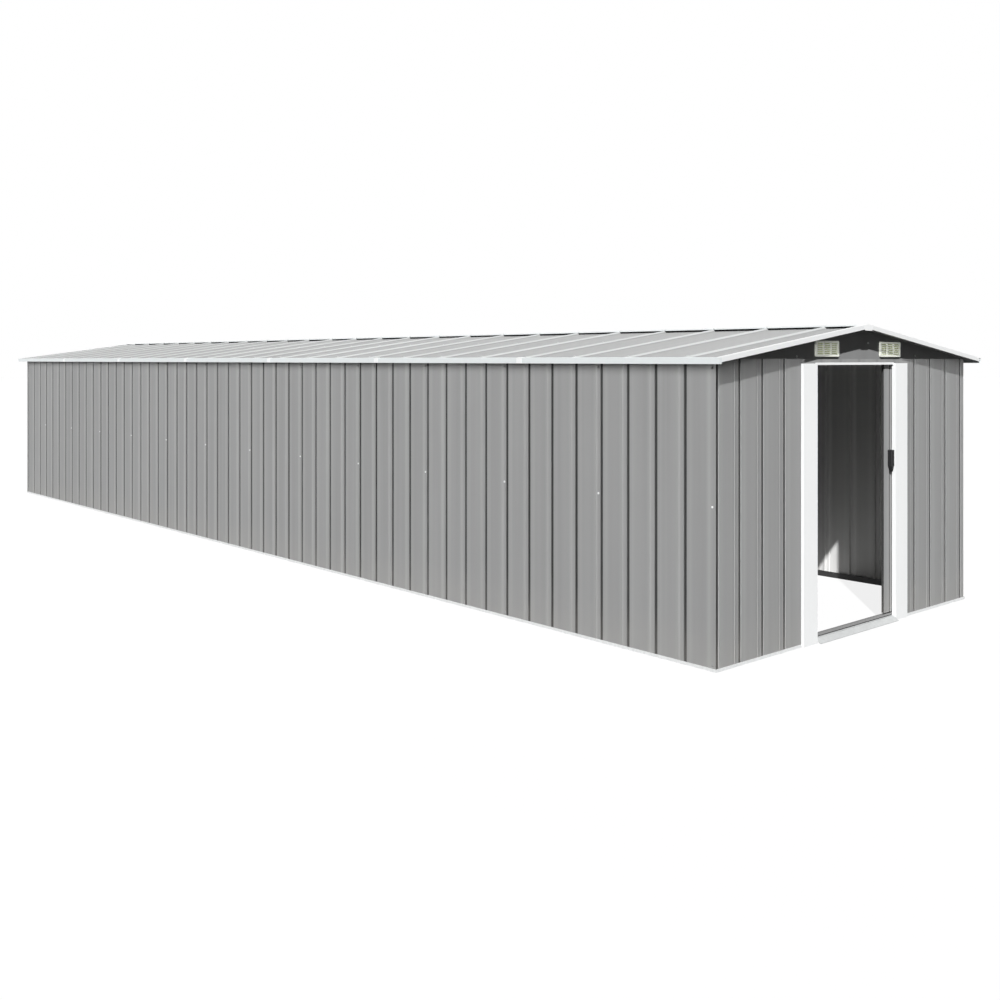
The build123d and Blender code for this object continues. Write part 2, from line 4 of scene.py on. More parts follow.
import bmesh
import bpy
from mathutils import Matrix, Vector


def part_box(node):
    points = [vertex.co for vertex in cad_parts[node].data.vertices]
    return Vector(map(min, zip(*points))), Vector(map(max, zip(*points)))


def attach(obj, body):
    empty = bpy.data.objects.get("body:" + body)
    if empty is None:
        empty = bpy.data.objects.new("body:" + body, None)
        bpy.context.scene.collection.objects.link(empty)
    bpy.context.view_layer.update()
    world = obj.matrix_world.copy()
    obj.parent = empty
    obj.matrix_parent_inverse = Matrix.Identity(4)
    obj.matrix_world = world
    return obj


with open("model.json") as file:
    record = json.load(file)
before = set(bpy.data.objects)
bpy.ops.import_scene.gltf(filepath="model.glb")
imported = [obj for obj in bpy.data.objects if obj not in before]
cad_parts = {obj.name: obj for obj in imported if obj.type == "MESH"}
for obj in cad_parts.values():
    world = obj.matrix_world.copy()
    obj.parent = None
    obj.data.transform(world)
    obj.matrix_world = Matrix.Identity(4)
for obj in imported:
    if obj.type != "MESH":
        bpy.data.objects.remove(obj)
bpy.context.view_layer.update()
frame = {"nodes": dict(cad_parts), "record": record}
nodes = frame["nodes"]
subparts = frame["record"]["subparts"]

# A long metal storage shed, in metres: X to the right as one faces the doorway, Y to the back, Z up.

# Driving sizes of the shed, which the finishes and the small pieces follow
RIB_PITCH = 0.192
SIDE_PITCHES = 51
END_PITCHES = 13
PANEL_PITCHES = 4
CORNER_FLAT = 0.045
BEAD_HEIGHT = 0.003
SHEET = 0.001
WALL_TOP = 1.535
ROOF_RISE = 0.178
EAVE_OVERHANG = 0.075
VERGE_OVERHANG = 0.078
ROOF_BAYS = 24
ROOF_FIRST_RIB = 0.243
ROOF_END_RIB = 0.022
RIB_HEIGHT = 0.012
RIB_HALF_FOOT = 0.015
RIB_HALF_CROWN = 0.007
TRIM_TOP = 0.015
EAVE_FACE = 0.031
EAVE_LIP = 0.018
EAVE_RETURN = 0.014
EAVE_LENGTHS = 7
OPENING_WIDTH = 0.818
OPENING_TOP = 1.503
LEAF_FACE = 4.901
SILL_HEAD = 0.025
VENT_WIDTH = 0.225
VENT_BORDER = 0.013
VENT_SLAT = 0.005
VENT_ROWS = 6

# Sizes that follow from those
half_width = (END_PITCHES * RIB_PITCH + CORNER_FLAT) / 2
half_length = (SIDE_PITCHES * RIB_PITCH + CORNER_FLAT) / 2
wall_reach = half_width + SHEET + BEAD_HEIGHT
roof_half_width = half_width + EAVE_OVERHANG
roof_half_length = half_length + VERGE_OVERHANG
roof_slope = atan(ROOF_RISE / wall_reach)
first_rib = ROOF_FIRST_RIB - roof_half_length
roof_pitch = -2 * first_rib / ROOF_BAYS
roof_ribs = [first_rib + count * roof_pitch for count in range(ROOF_BAYS + 1)]


def roof_level(x, lift):
    """Height of a plane that lies over the roof's underside by lift, square to the slope."""
    return WALL_TOP + (wall_reach - abs(x)) * tan(roof_slope) + lift / cos(roof_slope)


# Finishes


class Value:
    """A socket of a finish that takes part in sums."""

    def __init__(self, finish, socket):
        self.finish = finish
        self.socket = socket

    def __add__(self, other):
        return self.finish.math("ADD", self, other)

    def __sub__(self, other):
        return self.finish.math("SUBTRACT", self, other)

    def __rsub__(self, other):
        return self.finish.math("SUBTRACT", other, self)

    def __mul__(self, other):
        return self.finish.math("MULTIPLY", self, other)

    def __truediv__(self, other):
        return self.finish.math("DIVIDE", self, other)

    def __gt__(self, other):
        return self.finish.math("GREATER_THAN", self, other)

    def __lt__(self, other):
        return self.finish.math("LESS_THAN", self, other)

    def __abs__(self):
        return self.finish.math("ABSOLUTE", self)

    __radd__ = __add__
    __rmul__ = __mul__


PEEL_GRAIN = 420.0
BEND_NONE, BEND_FULL = 0.98, 0.80


class Finish:
    """A material, or the world, made of nodes."""

    def __init__(self, owner):
        owner.use_nodes = True
        self.owner = owner
        self.tree = owner.node_tree
        self.tree.nodes.clear()

    def node(self, kind, settings, sockets):
        """One node: its settings are set first, then its sockets get values or links."""
        made = self.tree.nodes.new(kind)
        for name, value in settings.items():
            setattr(made, name, value)
        for name, value in sockets.items():
            if isinstance(value, Value):
                self.tree.links.new(value.socket, made.inputs[name])
            else:
                made.inputs[name].default_value = value
        return lambda name: Value(self, made.outputs[name])

    def math(self, operation, *terms):
        return self.node("ShaderNodeMath", {"operation": operation}, dict(enumerate(terms)))("Value")

    def whole(self, value):
        """The whole number under a value."""
        return self.math("FLOOR", value)

    def parts(self, vector):
        """The three numbers of a vector."""
        split = self.node("ShaderNodeSeparateXYZ", {}, {"Vector": vector})
        return split("X"), split("Y"), split("Z")

    def joined(self, first, second):
        """A vector of two numbers."""
        return self.node("ShaderNodeCombineXYZ", {}, {0: first, 1: second})("Vector")

    def place(self):
        """Where a point of the piece is at rest."""
        return self.node("ShaderNodeTexCoord", {}, {})("Object")

    def facing(self):
        """The way that a point's face looks."""
        return self.node("ShaderNodeNewGeometry", {}, {})("True Normal")

    def stretched(self, vector, scale):
        return self.node("ShaderNodeVectorMath", {"operation": "MULTIPLY"}, {0: vector, 1: scale})("Vector")

    def agreement(self, first, second):
        """How far two vectors point the same way."""
        settings = {"operation": "DOT_PRODUCT"}
        return self.node("ShaderNodeVectorMath", settings, {0: first, 1: second})("Value")

    def clouds(self, vector, scale, detail=3.0):
        """Soft patches from 0 to 1."""
        sockets = {"Vector": vector, "Scale": scale, "Detail": detail}
        return self.node("ShaderNodeTexNoise", {}, sockets)("Fac")

    def peel(self, vector):
        """The fine orange peel of a sprayed coat."""
        return self.clouds(vector, PEEL_GRAIN, 1.0)

    def speckle(self, vector):
        """One random number for each whole place."""
        return self.node("ShaderNodeTexWhiteNoise", {"noise_dimensions": "3D"}, {"Vector": vector})("Value")

    def step(self, value, low, high):
        """A smooth rise from 0 at low to 1 at high."""
        sockets = {"Value": value, "From Min": low, "From Max": high}
        return self.node("ShaderNodeMapRange", {"interpolation_type": "SMOOTHSTEP"}, sockets)("Result")

    def band(self, value, middle, reach):
        """1 where a value is at its middle, falling to 0 at its reach."""
        return 1 - self.step(abs(value - middle), 0.0, reach)

    def edges(self, width):
        """1 along bends and sheet edges, 0 on the flat."""
        rounded = self.node("ShaderNodeBevel", {"samples": 4}, {"Radius": width})("Normal")
        return 1 - self.step(self.agreement(rounded, self.facing()), BEND_FULL, BEND_NONE)

    def blend(self, share, first, second, way="MIX"):
        settings = {"data_type": "RGBA", "blend_type": way}
        return self.node("ShaderNodeMix", settings, {0: share, 6: first, 7: second})(2)

    def toned(self, colour, tone):
        """A colour made lighter or darker by a number that varies."""
        grey = self.node("ShaderNodeCombineColor", {}, {0: tone, 1: tone, 2: tone})("Color")
        return self.blend(1.0, colour, grey, "MULTIPLY")

    def mixed(self, share, first, second):
        """Two shaders, mixed by a share."""
        return self.node("ShaderNodeMixShader", {}, {0: share, 1: first, 2: second})("Shader")

    def close(self, colour, roughness, height, depth, **fixed):
        """Closes a material: its colour, its roughness and its fine relief."""
        relief = {"Strength": 1.0, "Distance": depth, "Height": height}
        normal = self.node("ShaderNodeBump", {}, relief)("Normal")
        sockets = {"Base Color": colour, "Roughness": roughness, "Normal": normal}
        sockets.update({name.replace("_", " "): value for name, value in fixed.items()})
        surface = self.node("ShaderNodeBsdfPrincipled", {}, sockets)("BSDF")
        self.node("ShaderNodeOutputMaterial", {}, {"Surface": surface})
        return self.owner


def finish(name):
    return Finish(bpy.data.materials.new(name))


def shade(red, green, blue):
    return (red, green, blue, 1.0)


WALL_GREY = shade(0.326, 0.328, 0.327)
GABLE_GREY = shade(0.254, 0.256, 0.256)
ROOF_GREY = shade(0.333, 0.336, 0.335)
BACKING = shade(0.74, 0.74, 0.73)
ROOF_BACKING = shade(0.38, 0.38, 0.375)
RIB_HIGHLIGHT_WHITE = shade(0.50, 0.51, 0.51)
TRIM_WHITE = shade(0.86, 0.87, 0.87)
JAMB_WHITE = shade(0.93, 0.94, 0.94)
EAVE_WHITE = shade(0.78, 0.815, 0.82)
ZINC = shade(0.66, 0.67, 0.67)
BASE_PALE = shade(0.86, 0.87, 0.87)
SILL_PALE = shade(0.48, 0.49, 0.49)
TRACK_GREY = shade(0.30, 0.30, 0.30)
VENT_CREAM = shade(0.92, 0.94, 0.85)
BLADE_GREEN = shade(0.72, 0.76, 0.50)
HANDLE_BLACK = shade(0.020, 0.020, 0.021)
FOAM_SHADE_BLACK = shade(0.012, 0.012, 0.012)
DOOR_GREY = shade(0.330, 0.332, 0.331)
GUIDE_BLACK = shade(0.05, 0.05, 0.05)
STEEL = shade(0.46, 0.46, 0.455)
SCREW_WHITE = shade(0.80, 0.81, 0.81)
BESIDE_RIB_DARK = shade(0.17, 0.17, 0.165)
TRACK_GAP_SHADE = shade(0.04, 0.04, 0.04)
RAIL_INSIDE_SHADE = shade(0.035, 0.035, 0.035)
DUST = shade(0.45, 0.43, 0.40)

SHEET_GLOSS = 0.12
PEEL_share = 0.08
PEEL_DEPTH = 0.00012

# Wall sheets: where painted shade darkens a groove, how far dust rises, and the middle and gain of each
# pitch's bands of painted sheen and shade
OUTSIDE_LIMIT = -0.3
GROOVE_SHADE_share = 0.17
GROOVE_SHADE_FROM, GROOVE_SHADE_FULL = 0.0010, 0.0055
DUST_RISE = 0.30
WALL_STREAKS = (14.0, 14.0, 0.35)
WALL_DENTS = (5.0, 5.0, 1.6)
WALL_DENT_DEPTH = 0.0022
SHEEN_BAND_REACH_share = 0.13
SIDE_SHEEN_BAND_shares = ((0.21, 0.15), (0.83, 0.07))
END_SHEEN_BAND_shares = ((0.20, 0.06), (0.79, -0.16))


def wall_coat(name, across, plane, colour, sheen_bands=()):
    """Coated wall sheet: painted shade in the grooves, paler on its back, with streaks and with bands of
    painted sheen and shade along each pitch.
    """
    coat = finish(name)
    place = coat.place()
    spot = coat.parts(place)
    along = spot[1 - across]
    side = coat.math("SIGN", spot[across])
    outside = coat.parts(coat.facing())[across] * side > OUTSIDE_LIMIT
    # Painted shade: the outer faces inside each groove take a darker colour where shade falls
    groove_shade = coat.step(plane - abs(spot[across]), GROOVE_SHADE_FROM, GROOVE_SHADE_FULL) * outside
    streaks = coat.clouds(coat.stretched(place, WALL_STREAKS), 1.0)
    patches = coat.clouds(place, 1.3)
    panel = coat.joined(coat.whole(along / (RIB_PITCH * PANEL_PITCHES)), outside)
    tone = 0.85 + 0.20 * streaks + 0.06 * patches + 0.05 * coat.speckle(panel)
    corner = (half_length, half_width)[across]
    pitch = coat.math("FRACT", (corner - along * side) / RIB_PITCH)
    # Painted sheen and shade: a band with a positive gain pales the colour beside each groove as a highlight
    # would, and a negative gain darkens the beads' own highlight on the end walls
    for middle, gain in sheen_bands:
        tone = tone + gain * (coat.band(pitch, middle, SHEEN_BAND_REACH_share) - SHEEN_BAND_REACH_share)
    groove_shade_colour = shade(*[GROOVE_SHADE_share * part for part in colour[:3]])
    face = coat.blend(groove_shade, colour, groove_shade_colour)
    sheet = coat.toned(coat.blend(outside, BACKING, face), tone)
    dust = (1 - coat.step(spot[2], 0.0, DUST_RISE)) * coat.clouds(place, 9.0) * 0.28
    dents = coat.clouds(coat.stretched(place, WALL_DENTS), 1.0, 1.0)
    roughness = 0.58 + 0.14 * patches + 0.20 * dust
    relief = coat.peel(place) * PEEL_share + dents
    dusty = coat.blend(dust, sheet, DUST)
    return coat.close(dusty, roughness, relief, WALL_DENT_DEPTH, Specular_IOR_Level=SHEET_GLOSS)


# Roof sheets: the lift at which a painted highlight pales a rib, and the stretch of roof along which that
# painted highlight fades
RIB_HIGHLIGHT_FROM, RIB_HIGHLIGHT_FULL = 0.0055, 0.0080
RIB_HIGHLIGHT_FADE_FROM, RIB_HIGHLIGHT_FADE_FULL = -1.5, 4.0
RIB_HIGHLIGHT_FADE_share = 0.4
BESIDE_RIB_FROM_share = 0.44
BESIDE_RIB_share = 0.35
ROOF_STREAKS = (0.5, 26.0, 0.5)
ROOF_DENTS = (1.5, 5.0, 1.5)
ROOF_DENT_DEPTH = 0.002
ROOF_GLOSS = 0.04


def roof_coat(name):
    """Coated roof sheet: ribs paled by a painted highlight, streaks that run down the slope and a darker
    colour in a narrow strip beside the ribs.
    """
    coat = finish(name)
    place = coat.place()
    x, y, z = coat.parts(place)
    lift = (z - WALL_TOP) * cos(roof_slope) - (wall_reach - abs(x)) * sin(roof_slope)
    above = coat.parts(coat.facing())[2] > 0
    # Painted highlight: the upper part of each rib is paled, fading towards the back of the roof
    rib = coat.step(lift, RIB_HIGHLIGHT_FROM, RIB_HIGHLIGHT_FULL)
    streaks = coat.clouds(coat.stretched(place, ROOF_STREAKS), 1.0)
    patches = coat.clouds(place, 1.6)
    bay = (y - first_rib) / roof_pitch
    tone = 0.90 + 0.12 * streaks + 0.05 * patches
    tone = tone + 0.05 * coat.speckle(coat.joined(coat.whole(bay), x > 0))
    beside = coat.math("PINGPONG", bay + 0.5, 0.5)
    # Darker in a narrow strip along the foot of each rib
    beside_rib_darkening = coat.step(beside, BESIDE_RIB_FROM_share, 0.5) * (1 - rib) * BESIDE_RIB_share
    dull = coat.step(y, RIB_HIGHLIGHT_FADE_FROM, RIB_HIGHLIGHT_FADE_FULL) * RIB_HIGHLIGHT_FADE_share
    rib_highlight_colour = coat.blend(dull, RIB_HIGHLIGHT_WHITE, ROOF_GREY)
    face = coat.blend(beside_rib_darkening, coat.blend(rib, ROOF_GREY, rib_highlight_colour), BESIDE_RIB_DARK)
    sheet = coat.toned(coat.blend(above, ROOF_BACKING, face), tone)
    dents = coat.clouds(coat.stretched(place, ROOF_DENTS), 1.0, 1.0)
    roughness = 0.78 + 0.14 * patches
    relief = coat.peel(place) * PEEL_share + dents
    return coat.close(sheet, roughness, relief, ROOF_DENT_DEPTH, Specular_IOR_Level=ROOF_GLOSS)


WEAR_WIDTH = 0.0016
WEAR_FROM_share, WEAR_FULL_share = 0.48, 0.66


def trim_coat(name, colour, worn):
    """Coated trim: a little worn along its bends and dusty in patches."""
    coat = finish(name)
    place = coat.place()
    patches = coat.clouds(place, 2.2)
    fine = coat.clouds(place, 40.0)
    tone = 0.93 + 0.06 * patches + 0.03 * fine
    spots = coat.step(coat.clouds(place, 25.0), WEAR_FROM_share, WEAR_FULL_share)
    wear = coat.edges(WEAR_WIDTH) * spots * worn
    worn_colour = coat.blend(wear, coat.toned(colour, tone), ZINC)
    roughness = 0.36 + 0.14 * fine
    return coat.close(worn_colour, roughness, coat.peel(place), PEEL_DEPTH, Specular_IOR_Level=SHEET_GLOSS)


SPANGLE_GRAIN = 90.0
SPANGLE_DEPTH = 0.00008
OUTWARDS_LIMIT = -0.1


def zinc_coat(name, colour, metal, shade_inside=None):
    """Galvanised steel: a spangle of crystals under a thin film, and, when a second colour is given, painted
    shade in that colour on the faces towards the room.
    """
    coat = finish(name)
    place = coat.place()
    # Painted shade: faces that look into the room take a near black colour, where shade falls inside
    if shade_inside:
        outwards = coat.agreement(place, coat.facing()) > OUTWARDS_LIMIT
        colour = coat.blend(outwards, shade_inside, colour)
    crystals = coat.node("ShaderNodeTexVoronoi", {}, {"Vector": place, "Scale": SPANGLE_GRAIN})("Color")
    spangle = coat.parts(crystals)[0]
    patches = coat.clouds(place, 3.0)
    tone = 0.86 + 0.10 * spangle + 0.10 * patches
    roughness = 0.38 + 0.16 * spangle
    fixed = {"Metallic": metal, "Specular_IOR_Level": 0.3}
    return coat.close(coat.toned(colour, tone), roughness, spangle, SPANGLE_DEPTH, **fixed)


GAP_SHADE_UNEVENNESS = 0.002
GAP_SHADE_RISE = 0.002
GAP_SHADE_FADE = 0.005
TRACK_GRAIN_DEPTH = 0.0002


def track_coat(name):
    """Bottom track of the door: dull zinc, with painted shade, near black, along its foot up to just over
    the head of the sill.
    """
    coat = finish(name)
    place = coat.place()
    fine = coat.clouds(place, 60.0)
    # Painted shade: the track turns near black up to just over the head of the sill, where shade falls in
    # the gap between them
    level = coat.parts(place)[2] + GAP_SHADE_UNEVENNESS * fine
    gap_shade_head = SILL_HEAD + GAP_SHADE_RISE
    gap_shade = 1 - coat.step(level, gap_shade_head, gap_shade_head + GAP_SHADE_FADE)
    tone = 0.85 + 0.25 * fine
    gap_shaded = coat.blend(gap_shade, coat.toned(TRACK_GREY, tone), TRACK_GAP_SHADE)
    roughness = 0.5 + 0.2 * fine
    return coat.close(gap_shaded, roughness, fine, TRACK_GRAIN_DEPTH, Specular_IOR_Level=0.2)


RUB_WIDTH = 0.0015
RUB_share = 0.25
MOULD_GRAIN_DEPTH = 0.0002


def moulded_plastic(name, colour, grain, roughness):
    """Moulded plastic with a fine spark grain and paler, rubbed edges."""
    coat = finish(name)
    place = coat.place()
    patches = coat.clouds(place, 14.0)
    fine = coat.clouds(place, grain, 2.0)
    rubbed = coat.edges(RUB_WIDTH) * coat.clouds(place, 60.0) * RUB_share
    tone = 0.90 + 0.12 * patches + 0.06 * fine
    pale = shade(*[0.6 * part + 0.12 for part in colour[:3]])
    face = coat.blend(rubbed, coat.toned(colour, tone), pale)
    return coat.close(face, roughness + 0.12 * fine, fine, MOULD_GRAIN_DEPTH, Specular_IOR_Level=0.3)


DRAW_MARKS = (30.0, 400.0, 400.0)
DRAW_MARK_DEPTH = 0.00006


def brushed_steel(name):
    """Plated steel of the door gear, with fine draw marks."""
    coat = finish(name)
    place = coat.place()
    marks = coat.clouds(coat.stretched(place, DRAW_MARKS), 1.0)
    patches = coat.clouds(place, 20.0)
    tone = 0.82 + 0.22 * patches
    return coat.close(coat.toned(STEEL, tone), 0.26 + 0.22 * marks, marks, DRAW_MARK_DEPTH, Metallic=0.9)


side_wall_grey = wall_coat("side_wall_grey", 0, half_width, WALL_GREY, SIDE_SHEEN_BAND_shares)
end_wall_grey = wall_coat("end_wall_grey", 1, half_length, WALL_GREY, END_SHEEN_BAND_shares)
gable_grey = wall_coat("gable_grey", 1, half_length, GABLE_GREY)
roof_grey = roof_coat("roof_grey")
trim_white = trim_coat("trim_white", TRIM_WHITE, 0.5)
jamb_white = trim_coat("jamb_white", JAMB_WHITE, 0.4)
eave_white = trim_coat("eave_white", EAVE_WHITE, 0.5)
base_pale_shaded_inside = zinc_coat("base_pale_shaded_inside", BASE_PALE, 0.0, RAIL_INSIDE_SHADE)
sill_pale = zinc_coat("sill_pale", SILL_PALE, 0.0)
track_grey = track_coat("track_grey")
frame_zinc = zinc_coat("frame_zinc", ZINC, 0.35)
vent_cream = moulded_plastic("vent_cream", VENT_CREAM, 500.0, 0.42)
blade_green = moulded_plastic("blade_green", BLADE_GREEN, 500.0, 0.5)
handle_black = moulded_plastic("handle_black", HANDLE_BLACK, 900.0, 0.38)
guide_black = moulded_plastic("guide_black", GUIDE_BLACK, 600.0, 0.5)
foam_shade_black = moulded_plastic("foam_shade_black", FOAM_SHADE_BLACK, 300.0, 0.8)
door_grey = wall_coat("door_grey", 1, LEAF_FACE, DOOR_GREY)
brace_grey = trim_coat("brace_grey", DOOR_GREY, 0.35)
gear_steel = brushed_steel("gear_steel")
screw_white = zinc_coat("screw_white", SCREW_WHITE, 0.0)
screw_grey = zinc_coat("screw_grey", WALL_GREY, 0.0)
screw_pale = zinc_coat("screw_pale", RIB_HIGHLIGHT_WHITE, 0.0)

finish_of_slot = {
    "wall_grey": side_wall_grey,
    "gable_grey": gable_grey,
    "roof_grey": roof_grey,
    "trim_white": trim_white,
    "rail_zinc": frame_zinc,
    "vent_cream": vent_cream,
    "handle_black": handle_black,
    "door_grey": door_grey,
    "gear_steel": gear_steel,
    "guide_plastic": guide_black,
}
finish_of_node = {
    "rear_wall_over_panels": end_wall_grey,
    "rear_wall_under_panels": end_wall_grey,
    "front_left_panel": end_wall_grey,
    "front_right_panel": end_wall_grey,
    "front_header": end_wall_grey,
    "door_braces": brace_grey,
    "ridge_end_caps": jamb_white,
    "ridge_cap": eave_white,
    "door_sill": sill_pale,
    "door_bottom_track": track_grey,
    "left_jamb": jamb_white,
    "right_jamb": jamb_white,
    "left_eave_trim": eave_white,
    "right_eave_trim": eave_white,
    "left_base_rail": base_pale_shaded_inside,
    "right_base_rail": base_pale_shaded_inside,
    "rear_base_rail": base_pale_shaded_inside,
    "front_left_base_rail": base_pale_shaded_inside,
    "front_right_base_rail": base_pale_shaded_inside,
}
for part in subparts:
    material = finish_of_node.get(part["node"], finish_of_slot[part["material_slot"]])
    for holder in nodes[part["node"]].material_slots:
        holder.material = material


# Pieces


def placed(name, data):
    """An object of the scene that shows a mesh, a lamp or a lens."""
    shown = bpy.data.objects.new(name, data)
    bpy.context.scene.collection.objects.link(shown)
    return shown


def prism(section, place):
    """A closed section carried from end 0 to end 1, where place turns its points into places."""
    count = len(section)
    points = [place(across, up, end) for end in (0, 1) for across, up in section]
    afters = [(side + 1) % count for side in range(count)]
    faces = [(side, after, after + count, side + count) for side, after in enumerate(afters)]
    return points, faces + [tuple(range(count)), tuple(range(count, 2 * count))]


def add_piece(name, shapes, material, body="shell"):
    """One mesh of closed shapes that rides on a body of the shed."""
    points, faces = [], []
    for shape_points, shape_faces in shapes:
        first = len(points)
        points += shape_points
        faces += [tuple(first + corner for corner in face) for face in shape_faces]
    mesh = bpy.data.meshes.new(name)
    mesh.from_pydata(points, [], faces)
    solid = bmesh.new()
    solid.from_mesh(mesh)
    bmesh.ops.recalc_face_normals(solid, faces=solid.faces)
    solid.to_mesh(mesh)
    solid.free()
    mesh.materials.append(material)
    piece = placed(name, mesh)
    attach(piece, body)
    return piece


def turned(places):
    """The same places on the opposite side of the shed, beside the places themselves."""
    return places + [((-x, -y, z), (-across, -along, up)) for (x, y, z), (across, along, up) in places]


# Screws: a flanged head is rings of a radius and a lift
SCREW_SIDES = 12
SCREW_RINGS = ((0.0066, -0.0002), (0.0064, 0.0010), (0.0044, 0.0015), (0.0042, 0.0040), (0.0028, 0.0048))


def screw(place, way):
    """Flanged screw head at a place, with the way that it looks."""
    turn = Vector(way).to_track_quat("Z", "Y")
    angles = [2 * pi * side / SCREW_SIDES for side in range(SCREW_SIDES)]
    points = [
        Vector(place) + turn @ Vector((radius * cos(angle), radius * sin(angle), lift))
        for radius, lift in SCREW_RINGS for angle in angles
    ]
    faces = []
    for ring in range(len(SCREW_RINGS) - 1):
        low = ring * SCREW_SIDES
        for side in range(SCREW_SIDES):
            after = (side + 1) % SCREW_SIDES
            faces.append((low + side, low + after, low + SCREW_SIDES + after, low + SCREW_SIDES + side))
    last_ring = len(points) - SCREW_SIDES
    return points, faces + [tuple(range(SCREW_SIDES)), tuple(range(last_ring, len(points)))]


def add_screws(name, places, material):
    add_piece(name, [screw(place, way) for place, way in places], material)


LAP_SET = 0.022
LAP_SCREW_LEVEL = 0.806
FOOT_SCREW_LEVEL = 0.030
HEAD_SCREW_LEVEL = 1.490
lap_counts = range(0, SIDE_PITCHES - 1, PANEL_PITCHES)
side_laps = [LAP_SET - half_length + count * RIB_PITCH for count in lap_counts]
end_laps = [half_width + LAP_SET - count * RIB_PITCH for count in (PANEL_PITCHES, 2 * PANEL_PITCHES)]


def lap_places(level):
    """Screws of the lapped wall sheets at one level."""
    rear = [((x, half_length + SHEET, level), (0, 1, 0)) for x in end_laps]
    return turned([((-half_width - SHEET, y, level), (-1, 0, 0)) for y in side_laps]) + rear


edge_places = lap_places(FOOT_SCREW_LEVEL) + lap_places(HEAD_SCREW_LEVEL)
add_screws("wall_lap_screws", lap_places(LAP_SCREW_LEVEL), screw_white)
add_screws("wall_edge_screws", edge_places, screw_grey)

GABLE_SCREWS = ((-0.583, 1.548), (0.125, 1.626), (0.652, 1.637), (0.658, 1.553))
gable_places = turned([((x, -half_length, z), (0, -1, 0)) for x, z in GABLE_SCREWS])
add_screws("gable_screws", gable_places, screw_white)

ROOF_SCREW_LINES = (0.640, 1.285)
CAP_SCREW_LINE = 0.052


def roof_screw(side, x, y, lift):
    """Place on the left slope, for side -1, or the right slope, for side 1."""
    return (side * x, y, roof_level(x, lift)), (side * sin(roof_slope), 0, cos(roof_slope))


roof_places = []
for index, rib in enumerate(roof_ribs):
    rib_top = RIB_HEIGHT + (SHEET if index // 2 % 2 else 2 * SHEET)
    for side in (-1, 1):
        roof_places += [roof_screw(side, x, -side * rib, rib_top) for x in ROOF_SCREW_LINES]
        roof_places.append(roof_screw(side, CAP_SCREW_LINE, -side * rib, TRIM_TOP))
add_screws("roof_screws", roof_places, screw_pale)

# Foam that closes the ridge cap between the ribs, near black so that it also stands in for the shade in the
# gap under the cap
FOAM_INNER = 0.046
FOAM_OUTER = 0.061
foam_low, foam_high = SHEET, RIB_HEIGHT + 2 * SHEET


def foam_strip(side, start, stop):
    """Foam under one wing of the ridge cap, from rib to rib."""
    section = [(start + RIB_HALF_FOOT, foam_low), (stop - RIB_HALF_FOOT, foam_low)]
    section += [(stop - RIB_HALF_CROWN, foam_high), (start + RIB_HALF_CROWN, foam_high)]

    def place(y, lift, end):
        x = FOAM_OUTER if end else FOAM_INNER
        return side * x, y, roof_level(x, lift)

    return prism(section, place)


verge_rib = roof_half_length - ROOF_END_RIB
ribs = [-verge_rib] + roof_ribs + [verge_rib]
strips = [foam_strip(side, *ends) for side in (-1, 1) for ends in zip(ribs, ribs[1:])]
add_piece("ridge_foam_strips", strips, foam_shade_black)

# Blades of the vents
BLADE_FRONT = 0.0078
BLADE_BACK = 0.0006
BLADE_SHEET = 0.0012


def vent_blade(left, right, low, high):
    """Sloping blade behind one row of a vent's slots."""
    section = [(BLADE_FRONT, low), (BLADE_FRONT, low - BLADE_SHEET)]
    section += [(BLADE_BACK, high - BLADE_SHEET), (BLADE_BACK, high)]
    return prism(section, lambda out, z, end: (right if end else left, -half_length - out, z))


vents_low, vents_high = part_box("gable_vents")
slots_foot, slots_head = vents_low[2] + VENT_BORDER, vents_high[2] - VENT_BORDER
slot_height = (slots_head - slots_foot - (VENT_ROWS - 1) * VENT_SLAT) / VENT_ROWS
slot_feet = [slots_foot + row * (slot_height + VENT_SLAT) for row in range(VENT_ROWS)]
vent_spans = [
    (vents_low[0] + VENT_BORDER, vents_low[0] + VENT_WIDTH - VENT_BORDER),
    (vents_high[0] - VENT_WIDTH + VENT_BORDER, vents_high[0] - VENT_BORDER),
]
blades = [vent_blade(*span, foot, foot + slot_height) for span in vent_spans for foot in slot_feet]
vent_blades = add_piece("vent_blades", blades, blade_green)

# White lip folded round the foot of the header
LIP_FACE = 0.012
LIP_RETURN = 0.009
LIP_SHEET = 0.0012


def lip_of_header():
    """Thin angle along the head of the doorway, from jamb to jamb."""
    face, back = -half_length - LIP_SHEET, LIP_RETURN - half_length
    foot, head = OPENING_TOP - LIP_SHEET, OPENING_TOP + LIP_FACE
    section = [(face, head), (face, foot), (back, foot)]
    section += [(back, OPENING_TOP), (-half_length, OPENING_TOP), (-half_length, head)]
    reach = OPENING_WIDTH / 2 - SHEET
    return prism(section, lambda y, z, end: ((2 * end - 1) * reach, y, z))


header_lip = add_piece("header_lip", [lip_of_header()], jamb_white)

# Eave trims: plates over their ends and covers over their joints, seen along the left one
PLATE_SHEET = 0.001
COVER_HALF_LENGTH = 0.022
COVER_SHEET = 0.0015
eave_edge, eave_inner = -roof_half_width, EAVE_LIP - roof_half_width
eave_top = roof_level(eave_edge, TRIM_TOP)
eave_low = eave_top - EAVE_FACE
eave_fold = [(eave_edge, eave_low), (eave_edge, eave_top), (eave_inner, roof_level(eave_inner, TRIM_TOP))]


def eave_end(side):
    """Plate over the end of an eave trim: the front end of the left one, for side 1, or its opposite."""
    outline = eave_fold + [(eave_inner, eave_low), (eave_edge + EAVE_RETURN, eave_low)]
    return prism(outline, lambda x, z, end: (side * x, -side * (roof_half_length + end * PLATE_SHEET), z))


